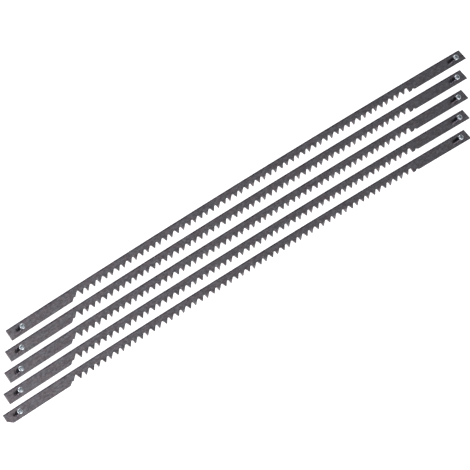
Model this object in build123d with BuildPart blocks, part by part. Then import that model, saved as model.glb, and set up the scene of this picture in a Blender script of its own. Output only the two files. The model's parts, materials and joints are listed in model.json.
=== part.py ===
from build123d import *
from math import cos, radians, sin, tan
import os

# A set of five loose pin-end saw blades lying side by side, in millimetres.
# +X runs along the blades, +Y points from their teeth to their back edges, and +Z is up. The origin is the
# centre of the set's bounding box, on the surface that the cross pins stand on. Blade 3 is the middle one.

# ---- The strip -------------------------------------------------------------------------------------------
BLADE_LENGTH = 165.0
BLADE_WIDTH = 3.2
BLADE_THICKNESS = 0.5
BOW = 0.82  # how far the back edge's middle stands beyond its two ends
END_SLANT = 0.65  # how far the right end's toothed corner stands beyond its back corner
CLIP_ON_END = 1.2  # the corner missing from blade 5, along its left end
CLIP_ON_EDGE = 1.5  # the same, along its toothed edge

# ---- The cross pins --------------------------------------------------------------------------------------
PIN_DIAMETER = 1.5
PIN_LENGTH = 5.5
PIN_CHAMFER = 0.12
NECK_DIAMETER = 1.1  # inside the strip, whose hole is staked into the pin
LEFT_PIN_INSET = 3.66  # from the left end to the pin's axis
RIGHT_PIN_INSET = 4.15  # from the right end's further corner to the pin's axis

# ---- The teeth, whose cutting faces look towards -X. Depths are measured from the back edge --------------
TOOTH_COUNT = 57
TOOTH_PITCH = 2.088
FIRST_TIP_X = -58.61
TIP_DEPTH = 3.0
TIP_LAND = 0.08
FACE_LEAN = 16.0  # degrees that a cutting face leans back from upright
FLANK_SLOPE = 47.0  # degrees that a tooth's back slopes down from the blade's line
BEND_DEPTH = 1.95  # where a tooth is bent out of the strip's plane
GULLET_DEPTH = 1.78
TOOTH_SET = 0.30  # how far a tip is bent sideways, alternately up and down

# ---- Where the teeth run out -----------------------------------------------------------------------------
LEFT_RUNOUT_START = 3.6  # where the plain edge ends, before the first tip
LEFT_STEP_DEPTH = 2.39
LEFT_STEP_START = 2.57
LEFT_STUB_DEPTH = 2.55
LEFT_STUB_START = 2.15
FIRST_GULLET_DEPTH = 1.38
FIRST_GULLET_START = 0.82
FIRST_GULLET_WIDTH = 0.5
RIGHT_SHOULDER = 2.1  # from the last tip to the upright face where full width starts again
NOTCH_START = 2.94
NOTCH_WIDTH = 1.4
NOTCH_HEIGHT = 0.5

# ---- The set of five -------------------------------------------------------------------------------------
BLADE_COUNT = 5
STEP_X = 3.36  # each blade lies this much further to -X than the one behind it
STEP_Y = 4.82
FAN_STEP = 0.16  # degrees that each blade is turned from the one in front of it
MIDDLE_Y = 0.19  # where blade 3 lies, so that the set's bounding box is centred on the origin

# ---- Worked out from those -------------------------------------------------------------------------------
STRIP_MIDDLE = PIN_LENGTH / 2
STRIP_BOTTOM = STRIP_MIDDLE - BLADE_THICKNESS / 2
BOW_RADIUS = BLADE_LENGTH**2 / (8 * BOW) + BOW / 2
BOW_CENTRE_Y = (BLADE_WIDTH + BOW) / 2 - BOW_RADIUS
MID_DEPTH = BLADE_WIDTH / 2
LEFT_END = -BLADE_LENGTH / 2
RIGHT_END = BLADE_LENGTH / 2
tips = [FIRST_TIP_X + number * TOOTH_PITCH for number in range(TOOTH_COUNT)]
TOOTH_HEIGHT = TIP_DEPTH - BEND_DEPTH
FACE_REACH = TIP_LAND / 2 + TOOTH_HEIGHT * tan(radians(FACE_LEAN))
FLANK_REACH = TIP_LAND / 2 + TOOTH_HEIGHT / tan(radians(FLANK_SLOPE))


def on_blade(along, depth):
    """The point that is this far along the bowed blade and this deep from its back edge."""
    turn = along / BOW_RADIUS
    radius = BOW_RADIUS - depth
    return (radius * sin(turn), BOW_CENTRE_Y + radius * cos(turn))


def tooth_section(tip, depth, height=0):
    """The plane that crosses a tooth at this depth: local X runs along the blade and local Z to the tip."""
    turn = tip / BOW_RADIUS
    x, y = on_blade(tip, depth)
    return Plane(origin=(x, y, height), x_dir=(cos(turn), -sin(turn), 0), z_dir=(-sin(turn), -cos(turn), 0))


def tooth_foot(tip):
    """The two points where a tooth's cutting face and its flank meet the bend line."""
    section = tooth_section(tip, BEND_DEPTH)
    return (section.from_local_coords((-FACE_REACH, 0)), section.from_local_coords((FLANK_REACH, 0)))


def arc_on_blade(start, end, depth):
    """An arc that keeps one depth between two places along the blade."""
    return ThreePointArc(on_blade(start, depth), on_blade((start + end) / 2, depth), on_blade(end, depth))


def strip_outline():
    """The strip without its bent teeth: a plain bowed band whose lower edge dips at each gullet."""
    plain_end = FIRST_TIP_X - LEFT_RUNOUT_START
    shoulder = tips[-1] + RIGHT_SHOULDER
    notch = tips[-1] + NOTCH_START
    arc_on_blade(LEFT_END, RIGHT_END - END_SLANT, 0)
    Line(on_blade(LEFT_END, 0), on_blade(LEFT_END, BLADE_WIDTH))
    arc_on_blade(LEFT_END, plain_end, BLADE_WIDTH)
    Polyline(
        on_blade(plain_end, BLADE_WIDTH),
        on_blade(FIRST_TIP_X - LEFT_STEP_START, LEFT_STEP_DEPTH),
        on_blade(FIRST_TIP_X - LEFT_STUB_START, LEFT_STUB_DEPTH),
        on_blade(FIRST_TIP_X - FIRST_GULLET_START, FIRST_GULLET_DEPTH),
        on_blade(FIRST_TIP_X - FIRST_GULLET_START + FIRST_GULLET_WIDTH / 2, FIRST_GULLET_DEPTH),
        tooth_foot(tips[0])[0],
    )
    for tip in tips:
        Line(*tooth_foot(tip))
    for tip, next_tip in zip(tips, tips[1:]):
        gullet_start, gullet_end = tip + FLANK_REACH, next_tip - FACE_REACH
        gullet_bottom = on_blade((gullet_start + gullet_end) / 2, GULLET_DEPTH)
        ThreePointArc(tooth_foot(tip)[1], gullet_bottom, tooth_foot(next_tip)[0])
    Polyline(
        tooth_foot(tips[-1])[1],
        on_blade(tips[-1] + FLANK_REACH + BEND_DEPTH - GULLET_DEPTH, GULLET_DEPTH),
        on_blade(shoulder, GULLET_DEPTH),
        on_blade(shoulder, BLADE_WIDTH),
    )
    arc_on_blade(shoulder, notch, BLADE_WIDTH)
    Polyline(
        on_blade(notch, BLADE_WIDTH),
        on_blade(notch + NOTCH_WIDTH / 2, BLADE_WIDTH - NOTCH_HEIGHT),
        on_blade(notch + NOTCH_WIDTH, BLADE_WIDTH),
    )
    arc_on_blade(notch + NOTCH_WIDTH, RIGHT_END, BLADE_WIDTH)
    Line(on_blade(RIGHT_END, BLADE_WIDTH), on_blade(RIGHT_END - END_SLANT, 0))


def pin_outline():
    """Half of a cross pin's section, standing on its lower end beside its axis."""
    radius, neck = PIN_DIAMETER / 2, NECK_DIAMETER / 2
    Polyline(
        (0, 0),
        (radius - PIN_CHAMFER, 0),
        (radius, PIN_CHAMFER),
        (radius, STRIP_BOTTOM),
        (neck, STRIP_BOTTOM),
        (neck, STRIP_BOTTOM + BLADE_THICKNESS),
        (radius, STRIP_BOTTOM + BLADE_THICKNESS),
        (radius, PIN_LENGTH - PIN_CHAMFER),
        (radius - PIN_CHAMFER, PIN_LENGTH),
        (0, PIN_LENGTH),
        close=True,
    )


# ---- One strip, in the middle of the set -----------------------------------------------------------------
pin_places = {"left": LEFT_END + LEFT_PIN_INSET, "right": RIGHT_END - RIGHT_PIN_INSET}

with BuildPart() as blank:
    with BuildSketch(Plane.XY.offset(STRIP_BOTTOM)):
        with BuildLine():
            strip_outline()
        make_face()
        with Locations([on_blade(along, MID_DEPTH) for along in pin_places.values()]):
            Circle(NECK_DIAMETER / 2, mode=Mode.SUBTRACT)
    extrude(amount=BLADE_THICKNESS)
    teeth = []
    for number, tip in enumerate(tips):
        side = 1 if number % 2 == 0 else -1
        with BuildSketch(tooth_section(tip, BEND_DEPTH, STRIP_MIDDLE)) as root:
            with Locations(((FLANK_REACH - FACE_REACH) / 2, 0)):
                Rectangle(FACE_REACH + FLANK_REACH, BLADE_THICKNESS)
        with BuildSketch(tooth_section(tip, TIP_DEPTH, STRIP_MIDDLE + side * TOOTH_SET)) as point:
            Rectangle(TIP_LAND, BLADE_THICKNESS)
        teeth.append(loft(sections=[root.sketch, point.sketch], ruled=True, clean=False, mode=Mode.PRIVATE))
    add(teeth, clean=False)

# ---- The five blades, each a strip and two pins -------------------------------------------------------
os.makedirs("parts", exist_ok=True)

for blade in range(1, BLADE_COUNT + 1):
    places_back = (BLADE_COUNT + 1) / 2 - blade
    centre = (places_back * STEP_X, places_back * STEP_Y + MIDDLE_Y, 0)
    blade_plane = Plane(Location(centre, (0, 0, places_back * FAN_STEP)))

    with BuildPart() as strip:
        with Locations(blade_plane):
            add(blank.part, clean=False)
        if blade == BLADE_COUNT:
            # The nearest blade has lost the toothed corner of its left end.
            corner = on_blade(LEFT_END, BLADE_WIDTH)
            up_end = on_blade(LEFT_END, BLADE_WIDTH - CLIP_ON_END)
            along_edge = on_blade(LEFT_END + CLIP_ON_EDGE, BLADE_WIDTH)
            with BuildSketch(blade_plane.offset(STRIP_BOTTOM)):
                with BuildLine():
                    Polyline(corner, up_end, along_edge, close=True)
                make_face()
            extrude(amount=BLADE_THICKNESS, clean=False, mode=Mode.SUBTRACT)
    strip.part.label = f"blade_{blade}_strip"
    export_step(strip.part, f"parts/{strip.part.label}.step")

    for end, along in pin_places.items():
        foot = blade_plane.from_local_coords(on_blade(along, MID_DEPTH))
        pin_plane = Plane(origin=foot, x_dir=(1, 0, 0), z_dir=(0, -1, 0))
        with BuildPart() as pin:
            with BuildSketch(pin_plane):
                with BuildLine():
                    pin_outline()
                make_face()
            revolve(axis=Axis(foot, (0, 0, 1)))
        pin.part.label = f"blade_{blade}_{end}_pin"
        export_step(pin.part, f"parts/{pin.part.label}.step")
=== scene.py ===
import json
import random
from math import atan2, cos, exp, hypot, pi, radians, sin, tan

import bpy
from mathutils import Matrix, Vector


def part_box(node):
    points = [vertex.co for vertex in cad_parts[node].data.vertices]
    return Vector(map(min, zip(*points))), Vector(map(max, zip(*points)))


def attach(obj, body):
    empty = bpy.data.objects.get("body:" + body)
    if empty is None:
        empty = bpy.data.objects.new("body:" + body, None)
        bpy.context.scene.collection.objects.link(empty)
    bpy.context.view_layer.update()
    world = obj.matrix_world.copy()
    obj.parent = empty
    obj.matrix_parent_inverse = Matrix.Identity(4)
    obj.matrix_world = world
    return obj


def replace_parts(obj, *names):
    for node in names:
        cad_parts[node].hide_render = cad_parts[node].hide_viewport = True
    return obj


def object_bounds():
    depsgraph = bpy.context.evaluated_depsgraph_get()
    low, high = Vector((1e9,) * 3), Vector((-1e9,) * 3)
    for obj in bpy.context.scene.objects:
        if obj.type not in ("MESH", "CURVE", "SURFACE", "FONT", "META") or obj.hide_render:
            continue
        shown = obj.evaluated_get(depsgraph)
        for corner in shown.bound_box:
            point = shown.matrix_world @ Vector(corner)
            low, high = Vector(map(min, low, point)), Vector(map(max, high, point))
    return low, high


# Five loose pin-end saw blades lying side by side, in metres. +X runs along the blades, +Y points from their
# teeth to their back edges, and +Z is up. "along" is a place along a blade, from its middle towards +X, and
# "depth" is measured from its back edge towards its teeth.

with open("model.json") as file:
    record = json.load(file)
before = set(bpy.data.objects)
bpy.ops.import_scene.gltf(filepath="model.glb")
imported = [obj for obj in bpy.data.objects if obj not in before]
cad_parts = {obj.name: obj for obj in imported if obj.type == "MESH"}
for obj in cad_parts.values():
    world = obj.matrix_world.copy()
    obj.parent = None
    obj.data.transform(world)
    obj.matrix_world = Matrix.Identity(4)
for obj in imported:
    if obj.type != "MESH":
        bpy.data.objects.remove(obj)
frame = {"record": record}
cad_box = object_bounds()

MM = 0.001

# ---- The strip -------------------------------------------------------------------------------------------
BLADE_LENGTH = 165.0 * MM
BLADE_WIDTH = 3.2 * MM
BLADE_THICKNESS = 0.5 * MM
BOW = 0.82 * MM  # how far the back edge's middle stands beyond its ends
END_SLANT = 0.65 * MM  # how far the right end's toothed corner stands beyond its back corner
SLANT_REACH = 2.5 * MM  # how much of the right end the slant is spread over
CLIPPED_STRIP = "blade_5_strip"  # the one that has lost the toothed corner of its left end
CLIP_ON_END = 1.2 * MM
CLIP_ON_EDGE = 1.5 * MM
BOW_RADIUS = BLADE_LENGTH**2 / (8 * BOW) + BOW / 2
LEFT_END = -BLADE_LENGTH / 2
RIGHT_END = BLADE_LENGTH / 2

# ---- The teeth -------------------------------------------------------------------------------------------
TOOTH_COUNT = 57
TOOTH_PITCH = 2.088 * MM
FIRST_TIP = -58.61 * MM
TIP_DEPTH = 3.0 * MM
TIP_LAND = 0.08 * MM
FACE_LEAN = radians(16)  # of the cutting faces, which look towards -X
FLANK_SLOPE = radians(47)
BEND_DEPTH = 1.95 * MM  # where the teeth are bent out of the strip's plane
BEND_ROUND = 0.12 * MM  # how far the bend is spread to each side of that
GULLET_DEPTH = 1.78 * MM
GULLET_STEPS = (-0.75, -0.4, 0, 0.4, 0.75)  # the points round a gullet, in shares of its half width
TOOTH_SET = 0.30 * MM  # how far the tips are bent, alternately up and down
TOOTH_HEIGHT = TIP_DEPTH - BEND_DEPTH
FACE_REACH = TIP_LAND / 2 + TOOTH_HEIGHT * tan(FACE_LEAN)
FLANK_REACH = TIP_LAND / 2 + TOOTH_HEIGHT / tan(FLANK_SLOPE)
LAST_TIP = FIRST_TIP + (TOOTH_COUNT - 1) * TOOTH_PITCH

# ---- Where the teeth run out, as (along, depth) in mm from the first tip, and from the last ---------------
LEFT_RUNOUT = [(-3.6, 3.2), (-2.57, 2.39), (-2.15, 2.55), (-0.82, 1.38), (-0.57, 1.38)]
RIGHT_RUNOUT = [(1.19, 1.78), (2.04, 1.78), (2.14, 3.2), (2.94, 3.2), (3.64, 2.7), (4.34, 3.2)]
RUNOUT_START = FIRST_TIP + LEFT_RUNOUT[0][0] * MM
TEETH_END = LAST_TIP + FLANK_REACH
SET_START = FIRST_TIP - FACE_REACH - 0.1 * MM  # a little early, for the first tooth's rounded edge
SHOULDER = LAST_TIP + 2.09 * MM  # the middle of the steep edge in the right run-out
SHOULDER_LEAN = 0.1 * MM

# ---- The strip's rounded edges ---------------------------------------------------------------------------
BACK_ROUND = 0.09 * MM
END_ROUND = 0.04 * MM
TOOTH_ROUND = 0.022 * MM
SHOULDER_ROUND = 0.006 * MM  # where full width starts again, which is too steep for more
ROUND_ANGLES = (0, radians(45), radians(90))
FLAT_MARGIN = 0.05 * MM  # the most that a flat face keeps off its rounded edge, to be shaded flat
MITRE_LIMIT = 1.4  # the most that a corner's way in is lengthened
SHARP_ANGLE = radians(38)

# ---- The cross pins --------------------------------------------------------------------------------------
PIN_PLACES = (LEFT_END + 3.66 * MM, RIGHT_END - 4.15 * MM)
PIN_RADIUS = 0.75 * MM
NECK_RADIUS = 0.55 * MM  # where the strip grips the pin
PIN_SIDES = 40
DOME_DROP = 0.24 * MM  # how far a pin's rounded end falls from its middle to its rim
DOME_POWER = 5.5
DOME_STEPS = 12
LEFT_CROP = (-0.12, 0.07 * MM)  # a cropped end's slope along the blade, and the depth of the nick in it
RIGHT_CROP = (0.03, 0.0)
CROP_SCATTER = 0.015  # the most by which an end's slopes differ from that
CROP_SINK = 0.3  # how far a slanting end's middle is set down, as a share of its rise from there to its rim
NICK_HALF = 0.17 * MM

# ---- Where a pin is staked into its strip, as (height, radius round the pin, width) -----------------------
BURR = (0.005 * MM, 0.83 * MM, 0.05 * MM)
DENT = (-0.006 * MM, 0.99 * MM, 0.08 * MM)
STAKED_FROM = 0.77 * MM  # nearer to the pin than this, the strip is level again

# ---- The strips' mesh: columns across the blade, rows along it, and a block of cells round each pin --------
ROWS = [0, 0.4, 0.7, 1.0, 1.3, 1.6, 1.9, 2.2, 2.5, 2.8, 3.2]  # depths on a full-width column, mm
ROW_SHARES = [row * MM / BLADE_WIDTH for row in ROWS]
PLAIN_GAP = 0.4 * MM
TOOTHED_GAP = 0.28 * MM
BLOCK_HALF = 1.2 * MM
BLOCK_CELLS = 8
BLOCK_TOP = 1  # the blocks' first row
BLOCK_FOOT = BLOCK_TOP + BLOCK_CELLS
RINGS = [1.16, 1.08, 1.0, 0.93, 0.87, 0.82, 0.765, 0.55]  # radii round a pin's hole, mm


def spread(start, end, gap):
    """Even places from start up to, but not including, end, about a gap apart."""
    count = max(1, round((end - start) / gap))
    return [start + (end - start) * i / count for i in range(count)]


def tooth(tip):
    """One tooth, as (along, depth) points."""
    return [
        (tip - FACE_REACH, BEND_DEPTH),
        (tip - TIP_LAND / 2, TIP_DEPTH),
        (tip + TIP_LAND / 2, TIP_DEPTH),
        (tip + FLANK_REACH, BEND_DEPTH),
    ]


def gullet(tip):
    """The rounded gullet that follows a tooth, as (along, depth) points."""
    half = (TOOTH_PITCH - FACE_REACH - FLANK_REACH) / 2
    drop = BEND_DEPTH - GULLET_DEPTH
    return [
        (tip + FLANK_REACH + half * (1 + step), BEND_DEPTH - drop * (1 - step**2)) for step in GULLET_STEPS
    ]


def toothed_edge(clipped):
    """The toothed edge from the left end to the right, as (along, depth) points."""
    left_depth = BLADE_WIDTH - CLIP_ON_END if clipped else BLADE_WIDTH
    points = [(LEFT_END, left_depth), (LEFT_END + CLIP_ON_EDGE, BLADE_WIDTH)]
    points += [(FIRST_TIP + along * MM, depth * MM) for along, depth in LEFT_RUNOUT]
    for number in range(TOOTH_COUNT):
        tip = FIRST_TIP + number * TOOTH_PITCH
        points += tooth(tip)
        if number < TOOTH_COUNT - 1:
            points += gullet(tip)
    points += [(LAST_TIP + along * MM, depth * MM) for along, depth in RIGHT_RUNOUT]
    points.append((RIGHT_END, BLADE_WIDTH))
    return points


def columns(clipped):
    """The mesh's columns, as (along, the toothed edge's depth), and the first column of each pin's block."""
    edge = toothed_edge(clipped)
    made = []
    for (start, depth), (end, end_depth) in zip(edge, edge[1:]):
        gap = PLAIN_GAP if start < RUNOUT_START or end > TEETH_END else TOOTHED_GAP
        stops = [start, end]
        for place in PIN_PLACES:
            stops += [p for p in (place - BLOCK_HALF, place + BLOCK_HALF) if start < p < end]
        stops.sort()
        for a, b in zip(stops, stops[1:]):
            in_block = any(abs((a + b) / 2 - place) < BLOCK_HALF for place in PIN_PLACES)
            for along in spread(a, b, BLOCK_HALF * 2 / BLOCK_CELLS if in_block else gap):
                share = (along - start) / (end - start)
                made.append((along, depth + (end_depth - depth) * share))
    made.append(edge[-1])
    starts = [place - BLOCK_HALF for place in PIN_PLACES]
    firsts = [min(range(len(made)), key=lambda i: abs(made[i][0] - start)) for start in starts]
    return made, firsts


def tooth_lift(along, depth):
    """How far the set has bent this point out of the strip's plane."""
    past = depth - BEND_DEPTH
    if past < -BEND_ROUND or not SET_START < along < TEETH_END:
        return 0.0
    eased = past if past > BEND_ROUND else (past + BEND_ROUND) ** 2 / (4 * BEND_ROUND)
    number = round((along - FIRST_TIP - (FLANK_REACH - FACE_REACH) / 2) / TOOTH_PITCH)
    return (1 if number % 2 == 0 else -1) * TOOTH_SET * eased / TOOTH_HEIGHT


def staking(radius):
    """The strip's height round a pin: a burr that hugs the pin, and the shallow dent of the punch."""
    if radius < STAKED_FROM:
        return 0.0
    return sum(height * exp(-(((radius - middle) / width) ** 2)) for height, middle, width in (BURR, DENT))


def on_blade(along, depth, height=0.0):
    """A point of a bowed, slant-ended blade that lies along +X with its back edge's middle at the origin."""
    ramp = max(0.0, (along - RIGHT_END + SLANT_REACH) / SLANT_REACH)
    along -= ramp * END_SLANT * (1 - depth / BLADE_WIDTH)
    turn = along / BOW_RADIUS
    radius = BOW_RADIUS - depth
    return Vector((radius * sin(turn), radius * cos(turn) - BOW_RADIUS, height))


def blade_place(left, right):
    """Where a blade lies, as a matrix, from the middles of its two pins."""
    here = [on_blade(along, BLADE_WIDTH / 2) for along in PIN_PLACES]
    there, own = right - left, here[1] - here[0]
    turn = Matrix.Rotation(atan2(there.y, there.x) - atan2(own.y, own.x), 4, "Z")
    return Matrix.Translation((left + right) / 2 - turn @ ((here[0] + here[1]) / 2)) @ turn


def inward(points):
    """The way into a closed loop at each of its (along, depth) points, longer where it turns a corner."""
    made = []
    for i, (x, y) in enumerate(points):
        before, after = points[i - 1], points[(i + 1) % len(points)]
        normals = []
        for (x0, y0), (x1, y1) in ((before, (x, y)), ((x, y), after)):
            size = hypot(x1 - x0, y1 - y0)
            normals.append(((y0 - y1) / size, (x1 - x0) / size))
        nx, ny = normals[0][0] + normals[1][0], normals[0][1] + normals[1][1]
        size = hypot(nx, ny)
        stretch = min(MITRE_LIMIT, 2 / size)
        made.append((nx / size * stretch, ny / size * stretch))
    return made


def band(first, second):
    """The faces between two closed rings of equally many points."""
    count = len(first)
    return [(first[k], first[(k + 1) % count], second[(k + 1) % count], second[k]) for k in range(count)]


class Strip:
    """One toothed strip's mesh in the making. Its grid's keys are (column, row)."""

    def __init__(self, place, clipped):
        made, self.firsts = columns(clipped)
        self.place = place
        self.last_column, self.last_row = len(made) - 1, len(ROW_SHARES) - 1
        self.grid = {
            (i, j): (along, depth * share)
            for i, (along, depth) in enumerate(made)
            for j, share in enumerate(ROW_SHARES)
        }
        self.loop = self.outer_keys()
        self.rounds = [self.edge_round(i, j) for i, j in self.loop]
        self.directions = inward([self.grid[key] for key in self.loop])
        self.verts, self.places = [], []

    def outer_keys(self):
        """The grid's outer keys: along the back edge, down the right end, and back by the teeth."""
        keys = [(i, 0) for i in range(self.last_column)]
        keys += [(self.last_column, j) for j in range(self.last_row)]
        keys += [(i, self.last_row) for i in range(self.last_column, 0, -1)]
        keys += [(0, j) for j in range(self.last_row, 0, -1)]
        return keys

    def edge_round(self, i, j):
        """The radius of the rounded edge at an outer key."""
        if j == 0:
            return BACK_ROUND
        if abs(self.grid[i, j][0] - SHOULDER) < SHOULDER_LEAN:
            return SHOULDER_ROUND
        return END_ROUND if i in (0, self.last_column) or j != self.last_row else TOOTH_ROUND

    def block_keys(self, skipped):
        """The keys in the pins' blocks, but for this many of each block's first columns and rows."""
        steps = range(skipped, BLOCK_CELLS)
        return {(first + a, BLOCK_TOP + b) for first in self.firsts for a in steps for b in steps}

    def add(self, along, depth, height):
        """Add a point to the mesh, and return its number."""
        self.verts.append(self.place @ on_blade(along, depth, height + tooth_lift(along, depth)))
        self.places.append((along, depth))
        return len(self.verts) - 1

    def flat_points(self, side):
        """One side's flat face, as the number of each key's point. The blocks' insides are left out."""
        insets = [r + min(r, FLAT_MARGIN) for r in self.rounds]
        ways_in = zip(self.loop, self.directions, insets)
        shift = {key: (x * inset, y * inset) for key, (x, y), inset in ways_in}
        inside = self.block_keys(1)
        points = {}
        for key, (along, depth) in self.grid.items():
            if key not in inside:
                dx, dy = shift.get(key, (0, 0))
                points[key] = self.add(along + dx, depth + dy, side * BLADE_THICKNESS / 2)
        return points

    def hole(self, side, points, first, centre):
        """The faces from the border of a pin's block in to its hole, and the ring round the hole."""
        border = [(first + a, BLOCK_TOP) for a in range(BLOCK_CELLS)]
        border += [(first + BLOCK_CELLS, BLOCK_TOP + b) for b in range(BLOCK_CELLS)]
        border += [(first + a, BLOCK_FOOT) for a in range(BLOCK_CELLS, 0, -1)]
        border += [(first, BLOCK_TOP + b) for b in range(BLOCK_CELLS, 0, -1)]
        outer = [points[key] for key in border]
        faces = []
        middle = BLADE_WIDTH / 2
        for radius in [r * MM for r in RINGS]:
            height = side * (BLADE_THICKNESS / 2 + staking(radius))
            ring = []
            for key in border:
                x, y = self.grid[key][0] - centre, self.grid[key][1] - middle
                size = hypot(x, y)
                ring.append(self.add(centre + x / size * radius, middle + y / size * radius, height))
            faces += band(outer, ring)
            outer = ring
        return faces, outer

    def rounded_edge(self, side, points):
        """The faces from one side's flat face round its edge, and the ring where the edge's wall starts."""
        outer = [points[key] for key in self.loop]
        faces = []
        for angle in ROUND_ANGLES:
            ring = []
            for key, (x, y), r in zip(self.loop, self.directions, self.rounds):
                along, depth = self.grid[key]
                inset = r * (1 - sin(angle))
                height = side * (BLADE_THICKNESS / 2 - r * (1 - cos(angle)))
                ring.append(self.add(along + x * inset, depth + y * inset, height))
            faces += band(ring, outer)
            outer = ring
        return faces, outer

    def side_faces(self, side):
        """All of one side's faces, with the ring of its edge and the rings of its holes."""
        blocks = self.block_keys(0)
        points = self.flat_points(side)
        faces = [
            (points[i, j], points[i + 1, j], points[i + 1, j + 1], points[i, j + 1])
            for i in range(self.last_column)
            for j in range(self.last_row)
            if (i, j) not in blocks
        ]
        holes = []
        for first, centre in zip(self.firsts, PIN_PLACES):
            around, ring = self.hole(side, points, first, centre)
            faces += around
            holes.append(ring)
        rim, edge = self.rounded_edge(side, points)
        return faces + rim, edge, holes


def strip_mesh(name, place, clipped):
    """One toothed strip as a closed mesh, with rounded edges, set teeth and a staked hole for each pin."""
    strip = Strip(place, clipped)
    upper, upper_edge, upper_holes = strip.side_faces(1)
    lower, lower_edge, lower_holes = strip.side_faces(-1)
    faces = [face[::-1] for face in upper] + lower + band(upper_edge, lower_edge)
    for top, bottom in zip(upper_holes, lower_holes):
        faces += band(bottom, top)
    return finished_mesh(name, strip.verts, faces, strip.places)


def finished_mesh(name, verts, faces, places=None):
    """A smooth-shaded object whose hard edges stay hard. The places become its UV map, in metres."""
    mesh = bpy.data.meshes.new(name)
    mesh.from_pydata([tuple(v) for v in verts], [], faces)
    if places:
        layer = mesh.uv_layers.new(name="blade")
        for corner in mesh.loops:
            layer.data[corner.index].uv = places[corner.vertex_index]
    mesh.shade_smooth()
    mesh.set_sharp_from_angle(angle=SHARP_ANGLE)
    mesh.update()
    made = bpy.data.objects.new(name, mesh)
    bpy.context.scene.collection.objects.link(made)
    return made


def cropped(x, y, slant, nick_depth):
    """How far below flat a cropped end is at a place on it: its slant, and the nick that the cutters left."""
    nick = nick_depth * exp(-((x / NICK_HALF) ** 2)) / (1 + exp(-(y - NICK_HALF / 2) / (NICK_HALF / 3)))
    return hypot(*slant) * PIN_RADIUS * CROP_SINK + slant[0] * x + slant[1] * y + nick


def pin_outline(half):
    """A pin's outline from its lower end to its upper end, as (radius, height above its middle)."""
    steps = [(i / DOME_STEPS, 1 - (i / DOME_STEPS) ** DOME_POWER) for i in range(DOME_STEPS + 1)]
    upper = [(share * PIN_RADIUS, half - DOME_DROP * (1 - rise)) for share, rise in steps]
    upper.append((PIN_RADIUS, half - DOME_DROP - FLAT_MARGIN))
    waist = [(PIN_RADIUS, BLADE_THICKNESS / 2), (NECK_RADIUS, BLADE_THICKNESS / 2)]
    return [(r, -z) for r, z in upper] + [(r, -z) for r, z in waist] + waist[::-1] + upper[::-1]


def pin_mesh(name, low, high, crop, rng):
    """A wire pin turned from its outline, with its ends cropped: slanting, and nicked by the cutters."""
    middle = (low + high) / 2
    half = (high.z - low.z) / 2
    slope, nick_depth = crop
    slants = {}
    for sign in (-1, 1):
        along = sign * slope + rng.uniform(-CROP_SCATTER, CROP_SCATTER)
        slants[sign] = (along, rng.uniform(-CROP_SCATTER, CROP_SCATTER))
    verts, rings = [], []
    for r, z in pin_outline(half):
        sign = 1 if z > 0 else -1
        count = PIN_SIDES if r else 1
        rings.append(range(len(verts), len(verts) + count))
        for k in range(count):
            x, y = r * cos(2 * pi * k / PIN_SIDES), r * sin(2 * pi * k / PIN_SIDES)
            drop = sign * max(0.0, cropped(x, y, slants[sign], nick_depth)) if abs(z) > half / 2 else 0.0
            verts.append(Vector((middle.x + x, middle.y + y, middle.z + z - drop)))
    (bottom,), *around, (top,) = rings
    faces = [(bottom, around[0][(k + 1) % PIN_SIDES], around[0][k]) for k in range(PIN_SIDES)]
    for lower, higher in zip(around, around[1:]):
        faces += band(lower, higher)
    faces += [(around[-1][k], around[-1][(k + 1) % PIN_SIDES], top) for k in range(PIN_SIDES)]
    return finished_mesh(name, verts, faces)


# ---- Materials: each ramp is a list of (noise value, colour) ----------------------------------------------
FILM_RAMP = [
    (0.34, (0.45, 0.38, 0.46)),
    (0.45, (0.52, 0.45, 0.46)),
    (0.55, (0.49, 0.46, 0.52)),
    (0.66, (0.52, 0.50, 0.49)),
]
GRAIN_RAMP = [(0.36, (0.62,) * 3), (0.64, (1.08,) * 3)]
LINES_RAMP = [(0.3, (0.84,) * 3), (0.7, (1.0,) * 3)]
BACK_SHADE_END = (0.2 * MM, 0.42 * MM)  # the depths between which the painted shade along the back edge fades out
BACK_SHADE_WANDER = 0.12 * MM
# painted shade: a dark band along the back edge, standing in for the dark reflection of its rounded edge
BACK_SHADE_TINT = (0.46, 0.42, 0.52, 1)
# painted shade: darkens the strip's upright walls by the way they face
WALL_SHADE_TINT = (0.42, 0.40, 0.40, 1)
# painted shade on the pins' sides; on their ends, bright steel with a painted bluish sky reflection
PIN_SIDE_SHADE_RAMP = [(0.35, (0.10, 0.09, 0.09)), (0.65, (0.16, 0.17, 0.22))]
PIN_END_STEEL_AND_SKY_RAMP = [(0.35, (0.52, 0.57, 0.62)), (0.65, (0.64, 0.70, 0.75))]
BUMP_HEIGHT = 0.02 * MM
NOISE_SPAN = (0.3, 0.7)  # the values that most of a noise lies between
SLOPE_SPAN = (0.25, 0.65)  # how much a wall at most, and a flat face at least, faces up or down
MIX_INPUTS = (0, 6, 7)  # a mix node's sockets for its share and for its two colours
MIX_OUTPUT = 2


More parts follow.
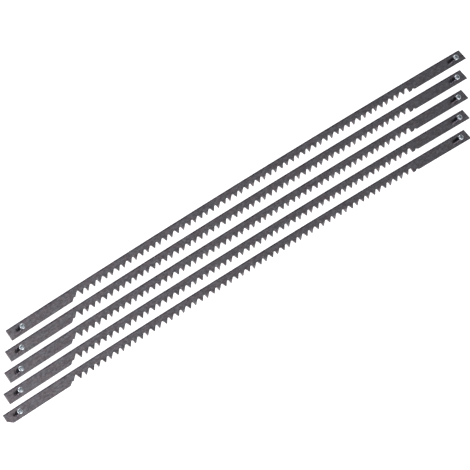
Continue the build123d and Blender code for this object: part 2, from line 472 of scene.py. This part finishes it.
class Shader:
    """A material's node tree, with short ways to add and join nodes."""

    def __init__(self, name):
        self.material = bpy.data.materials.new(name)
        self.material.use_nodes = True
        self.tree = self.material.node_tree
        self.surface = self.tree.nodes["Principled BSDF"]

    def node(self, kind, **settings):
        made = self.tree.nodes.new(kind)
        for key, value in settings.items():
            if key in made.inputs:
                made.inputs[key].default_value = value
            else:
                setattr(made, key, value)
        return made

    def join(self, source, target):
        self.tree.links.new(source, target)

    def noise(self, where, scale, detail, roughness=0.55):
        """Noise read at a place stretched by scale, which is in cells per metre."""
        mapping = self.node("ShaderNodeMapping", Scale=scale)
        self.join(where, mapping.inputs["Vector"])
        made = self.node("ShaderNodeTexNoise", Scale=1.0, Detail=detail, Roughness=roughness)
        self.join(mapping.outputs["Vector"], made.inputs["Vector"])
        return made.outputs["Fac"]

    def ramp(self, value, stops):
        made = self.node("ShaderNodeValToRGB")
        elements = made.color_ramp.elements
        while len(elements) < len(stops):
            elements.new(0.5)
        for element, (place, colour) in zip(elements, stops):
            element.position = place
            element.color = (*colour, 1.0)
        self.join(value, made.inputs["Fac"])
        return made.outputs["Color"]

    def mix(self, kind, share, first, second):
        made = self.node("ShaderNodeMix", data_type="RGBA", blend_type=kind)
        for number, value in zip(MIX_INPUTS, (share, first, second)):
            if isinstance(value, bpy.types.NodeSocket):
                self.join(value, made.inputs[number])
            else:
                made.inputs[number].default_value = value
        return made.outputs[MIX_OUTPUT]

    def remap(self, value, low, high, to_low, to_high):
        made = self.node("ShaderNodeMapRange")
        for key, number in zip(("From Min", "From Max", "To Min", "To Max"), (low, high, to_low, to_high)):
            made.inputs[key].default_value = number
        self.join(value, made.inputs["Value"])
        return made.outputs["Result"]

    def by_slope(self, on_walls, on_flats):
        """One value where the surface stands upright and another where it lies flat."""
        facing = self.node("ShaderNodeSeparateXYZ")
        self.join(self.node("ShaderNodeTexCoord").outputs["Normal"], facing.inputs["Vector"])
        flatness = self.node("ShaderNodeMath", operation="ABSOLUTE")
        self.join(facing.outputs["Z"], flatness.inputs[0])
        return self.remap(flatness.outputs["Value"], *SLOPE_SPAN, on_walls, on_flats)

    def bump(self, height, strength):
        """Give the surface a relief from a value."""
        made = self.node("ShaderNodeBump", Strength=strength, Distance=BUMP_HEIGHT)
        self.join(height, made.inputs["Height"])
        self.join(made.outputs["Normal"], self.surface.inputs["Normal"])


def back_edge_shade(look, along_and_depth):
    """How much painted shade lies along the back edge, with a ragged border."""
    depth = look.node("ShaderNodeSeparateXYZ")
    look.join(along_and_depth, depth.inputs["Vector"])
    wander = look.noise(along_and_depth, (700, 700, 0), 2.0)
    ragged = look.node("ShaderNodeMath", operation="ADD")
    look.join(depth.outputs["Y"], ragged.inputs[0])
    look.join(look.remap(wander, *NOISE_SPAN, -BACK_SHADE_WANDER, BACK_SHADE_WANDER), ragged.inputs[1])
    return look.remap(ragged.outputs["Value"], *BACK_SHADE_END, 1.0, 0.0)


def blade_steel():
    """Dull tempered spring steel: rolling lines, a brown and violet heat film, painted shade along the back
    edge and painted shade on the upright walls.
    """
    look = Shader("blade_steel")
    along_and_depth = look.node("ShaderNodeUVMap", uv_map="blade").outputs["UV"]
    place = look.node("ShaderNodeTexCoord").outputs["Object"]
    film = look.ramp(look.noise(place, (420, 700, 700), 5.0, 0.7), FILM_RAMP)
    grain = look.ramp(look.noise(place, (1100, 1900, 1900), 3.0, 0.75), GRAIN_RAMP)
    lines = look.noise(along_and_depth, (130, 6500, 0), 2.0)
    colour = look.mix("MULTIPLY", 1.0, film, grain)
    colour = look.mix("MULTIPLY", 1.0, colour, look.ramp(lines, LINES_RAMP))
    # painted shade along the back edge
    colour = look.mix("MULTIPLY", back_edge_shade(look, along_and_depth), colour, BACK_SHADE_TINT)
    # painted shade: upright walls darker than the flat faces
    colour = look.mix("MULTIPLY", look.by_slope(1.0, 0.0), colour, WALL_SHADE_TINT)
    look.join(colour, look.surface.inputs["Base Color"])
    look.surface.inputs["Metallic"].default_value = 1.0
    wear = look.noise(place, (600, 900, 900), 3.0)
    look.join(look.remap(wear, *NOISE_SPAN, 0.16, 0.25), look.surface.inputs["Roughness"])
    look.bump(lines, 0.2)
    return look.material


def pin_steel():
    """Wire with painted shade darkening its side, and bright steel where it was cropped to length, with a
    painted bluish sky reflection on that end.
    """
    look = Shader("pin_steel")
    place = look.node("ShaderNodeTexCoord").outputs["Object"]
    patches = look.noise(place, (1400, 1400, 700), 3.0)
    side, end = look.ramp(patches, PIN_SIDE_SHADE_RAMP), look.ramp(patches, PIN_END_STEEL_AND_SKY_RAMP)
    # painted shade on the side and painted sky reflection on the end, chosen by which way the surface faces
    look.join(look.mix("MIX", look.by_slope(0.0, 1.0), side, end), look.surface.inputs["Base Color"])
    look.surface.inputs["Metallic"].default_value = 1.0
    look.join(look.by_slope(0.14, 0.26), look.surface.inputs["Roughness"])
    look.bump(look.noise(place, (7000, 7000, 900), 2.0), 0.15)
    return look.material


# ---- The blades ------------------------------------------------------------------------------------------
rng = random.Random(7)
steel, wire = blade_steel(), pin_steel()

for body, nodes in frame["record"]["behaviour"]["bodies"].items():
    strip_node = next(node for node in nodes if node.endswith("strip"))
    pin_nodes = [next(node for node in nodes if node.endswith(end)) for end in ("left_pin", "right_pin")]
    pin_boxes = [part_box(node) for node in pin_nodes]
    place = blade_place(*[(low + high) / 2 for low, high in pin_boxes])
    strip = strip_mesh(strip_node.replace("strip", "toothed_strip"), place, strip_node == CLIPPED_STRIP)
    strip.data.materials.append(steel)
    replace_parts(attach(strip, body), strip_node)

    for node, (pin_low, pin_high), crop in zip(pin_nodes, pin_boxes, (LEFT_CROP, RIGHT_CROP)):
        pin = pin_mesh(node.replace("pin", "cross_pin"), pin_low, pin_high, crop, rng)
        pin.data.materials.append(wire)
        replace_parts(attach(pin, body), node)


# ---- The studio ------------------------------------------------------------------------------------------
SKY_PATCH = (0.12, 0.05, 0.99)  # the direction of the bright patch's middle
SKY_FADE = [  # at each distance from that direction: how bright the sky is, and its share of red
    (0.06, 1.8, 0.94),
    (0.2, 0.4, 0.94),
    (0.3, 0.28, 0.94),
    (0.38, 0.22, 0.92),
    (0.47, 0.205, 0.88),
    (0.62, 0.055, 0.82),
    (0.85, 0.08, 0.9),
    (1.1, 0.35, 0.94),
    (1.3, 0.6, 0.94),
    (2.0, 0.6, 0.94),
]
SKY_REACH = 2  # the distance to the opposite direction
SKY_GREEN = 0.97  # the sky's share of green

WHITE = (1, 1, 1)
LIGHTS = [  # name, place, width, height, how bright its face is, and colour
    ("front_key", (-0.12, -0.40, 0.75), 0.25, 0.2, 6.0, (1.0, 0.95, 0.95)),
    ("front_soft", (0.50, -0.52, 0.75), 0.7, 0.4, 0.5, WHITE),
    ("rear_soft", (0.50, 0.60, 0.75), 0.7, 0.4, 0.25, WHITE),
    ("left_fill", (-1.3, 0.0, 0.5), 1.0, 0.5, 4.0, WHITE),
    ("rear_fill", (0.0, 1.2, 0.5), 1.4, 0.5, 3.0, WHITE),
    ("front_fill", (0.0, -1.2, 0.5), 1.4, 0.5, 3.0, WHITE),
]
LIGHT_TARGET = Vector((0, 0, 0))

FLOOR_HALF = 6.0
FLOOR_HEIGHT = -0.02 * MM  # just clear of the pins that stand on it
FLOOR_GLOW = 0.8

CAMERA_TURNS = (radians(6.09), radians(63.08), radians(51.35))  # its heading, its dip and its roll
CAMERA_AIM = Vector((-4.33, 0.19, 0.0)) * MM  # from the middle of the blades
CAMERA_DISTANCE = 741.4 * MM
CAMERA_LENS = 208.4  # mm
CAMERA_SENSOR = 36  # mm


def area_light(name, place, width, height, strength, colour):
    """A soft box that faces the blades, and that the camera doesn't see."""
    data = bpy.data.lights.new(name, "AREA")
    data.shape = "RECTANGLE"
    data.size, data.size_y = width, height
    data.energy = strength * width * height * pi
    data.color = colour
    made = bpy.data.objects.new(name, data)
    made.location = place
    made.rotation_mode = "QUATERNION"
    made.rotation_quaternion = (LIGHT_TARGET - Vector(place)).to_track_quat("-Z", "Y")
    made.visible_camera = False
    bpy.context.scene.collection.objects.link(made)


def sky():
    """A soft bright patch overhead that fades into a dim ring, and a pale room round the horizon."""
    world = bpy.data.worlds.new("studio")
    world.use_nodes = True
    nodes, links = world.node_tree.nodes, world.node_tree.links
    from_patch = nodes.new("ShaderNodeVectorMath")
    from_patch.operation = "DISTANCE"
    from_patch.inputs[1].default_value = SKY_PATCH
    links.new(nodes.new("ShaderNodeTexCoord").outputs["Generated"], from_patch.inputs[0])
    share = nodes.new("ShaderNodeMath")
    share.operation = "MULTIPLY"
    share.inputs[1].default_value = 1 / SKY_REACH
    links.new(from_patch.outputs["Value"], share.inputs[0])
    fade = nodes.new("ShaderNodeValToRGB")
    fade.color_ramp.interpolation = "B_SPLINE"
    elements = fade.color_ramp.elements
    while len(elements) < len(SKY_FADE):
        elements.new(0.5)
    for element, (distance, brightness, red) in zip(elements, SKY_FADE):
        element.position = distance / SKY_REACH
        element.color = (brightness * red, brightness * SKY_GREEN, brightness, 1)
    links.new(share.outputs["Value"], fade.inputs["Fac"])
    links.new(fade.outputs["Color"], nodes["Background"].inputs["Color"])
    nodes["Background"].inputs["Strength"].default_value = 1.0
    bpy.context.scene.world = world


def floor():
    """A wide sheet of white paper that glows, so that hardly any shadow shows on it."""
    mesh = bpy.data.meshes.new("floor")
    corners = [(x * FLOOR_HALF, y * FLOOR_HALF, 0) for x, y in ((-1, -1), (1, -1), (1, 1), (-1, 1))]
    mesh.from_pydata(corners, [], [(0, 1, 2, 3)])
    made = bpy.data.objects.new("floor", mesh)
    made.location.z = FLOOR_HEIGHT
    bpy.context.scene.collection.objects.link(made)
    paper = Shader("paper")
    paper.surface.inputs["Base Color"].default_value = (0.9, 0.9, 0.9, 1)
    paper.surface.inputs["Roughness"].default_value = 0.9
    paper.surface.inputs["Specular IOR Level"].default_value = 0.0
    paper.surface.inputs["Emission Color"].default_value = (1, 1, 1, 1)
    paper.surface.inputs["Emission Strength"].default_value = FLOOR_GLOW
    mesh.materials.append(paper.material)


def camera():
    """The photograph's view: steeply down from beyond the left ends, turned about its own axis."""
    heading, dip, roll = CAMERA_TURNS
    aim = (cad_box[0] + cad_box[1]) / 2 + CAMERA_AIM
    ahead = Vector((cos(dip) * cos(heading), cos(dip) * sin(heading), -sin(dip)))
    level = Vector((sin(heading), -cos(heading), 0))
    upright = level.cross(ahead)
    right = level * cos(roll) + upright * sin(roll)
    up = upright * cos(roll) - level * sin(roll)
    turned = Matrix((right, up, -ahead)).transposed().to_4x4()
    data = bpy.data.cameras.new("camera")
    data.sensor_width = CAMERA_SENSOR
    data.lens = CAMERA_LENS
    data.clip_start, data.clip_end = 0.01, 100
    made = bpy.data.objects.new("camera", data)
    made.matrix_world = Matrix.Translation(aim - ahead * CAMERA_DISTANCE) @ turned
    bpy.context.scene.collection.objects.link(made)
    bpy.context.scene.camera = made


floor()
camera()
sky()
for light in LIGHTS:
    area_light(*light)
bpy.context.scene.view_settings.view_transform = "Standard"
